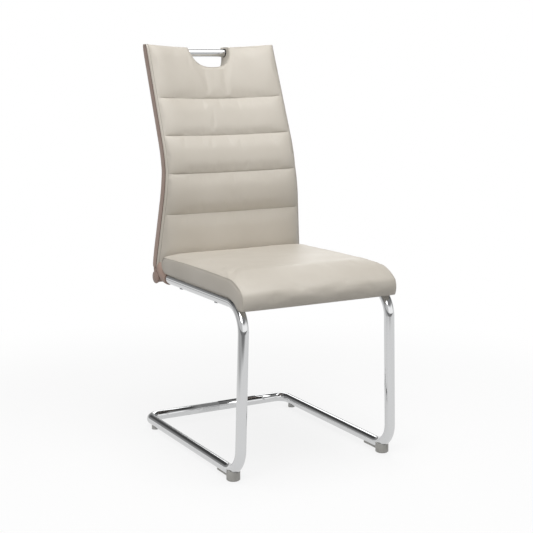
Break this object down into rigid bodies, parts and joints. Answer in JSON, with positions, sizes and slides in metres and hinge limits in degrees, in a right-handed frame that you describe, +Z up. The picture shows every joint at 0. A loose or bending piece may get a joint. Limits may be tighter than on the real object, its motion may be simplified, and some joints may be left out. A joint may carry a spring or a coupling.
{
  "type": "cantilever dining chair",
  "caption": "High-back upholstered cantilever dining chair on a bent chrome tube frame, with a quilted back and a carrying handle in its top.",
  "frame": {"origin": "on the floor, under the middle of the chair's overall width and depth", "axes": "+X to the sitter's left seen from the front (the viewer's right), -Y the way the sitter faces, +Z up"},
  "size_m": [0.444, 0.6188, 0.988],
  "materials": {
    "light_leather": "satin faux leather, light greige",
    "rear_leather": "satin faux leather, mauve brown",
    "chrome_tube": "polished chrome plating",
    "black_steel": "matt black powder coat",
    "zinc_hardware": "bright zinc plating",
    "black_collar": "matt black rubber",
    "grey_plastic": "moulded grey plastic",
    "foam": "cut upholstery foam",
    "plywood": "plain moulded plywood",
    "black_cloth": "thin non-woven cloth"
  },
  "bodies": {
    "root": {"back_cover_front": "light_leather", "back_cover_rear": "rear_leather", "back_foam": "foam", "back_lower_tube": "black_steel", "back_panel": "plywood", "back_panel_screws": "zinc_hardware", "back_roll_cap_left": "grey_plastic", "back_roll_cap_right": "grey_plastic", "back_roll_cover": "rear_leather", "back_top_strip": "light_leather", "floor_joint_spigot": "black_steel", "frame_tube_left": "chrome_tube", "frame_tube_right": "chrome_tube", "glide_front_left": "grey_plastic", "glide_front_right": "grey_plastic", "glide_rear_left": "grey_plastic", "glide_rear_right": "grey_plastic", "glide_screw_left": "zinc_hardware", "glide_screw_right": "zinc_hardware", "hand_hole_lining": "light_leather", "handle_collar_left": "black_collar", "handle_collar_right": "black_collar", "handle_tube": "chrome_tube", "rail_cuff_left": "rear_leather", "rail_cuff_right": "rear_leather", "seat_board": "plywood", "seat_bolts": "zinc_hardware", "seat_cover": "light_leather", "seat_cross_bar_front": "black_steel", "seat_cross_bar_rear": "black_steel", "seat_foam": "foam", "seat_saddle_washers": "zinc_hardware", "seat_side_panel_left": "light_leather", "seat_side_panel_right": "light_leather", "seat_under_cloth": "black_cloth", "tee_nuts": "zinc_hardware"}
  },
  "joints": []
}
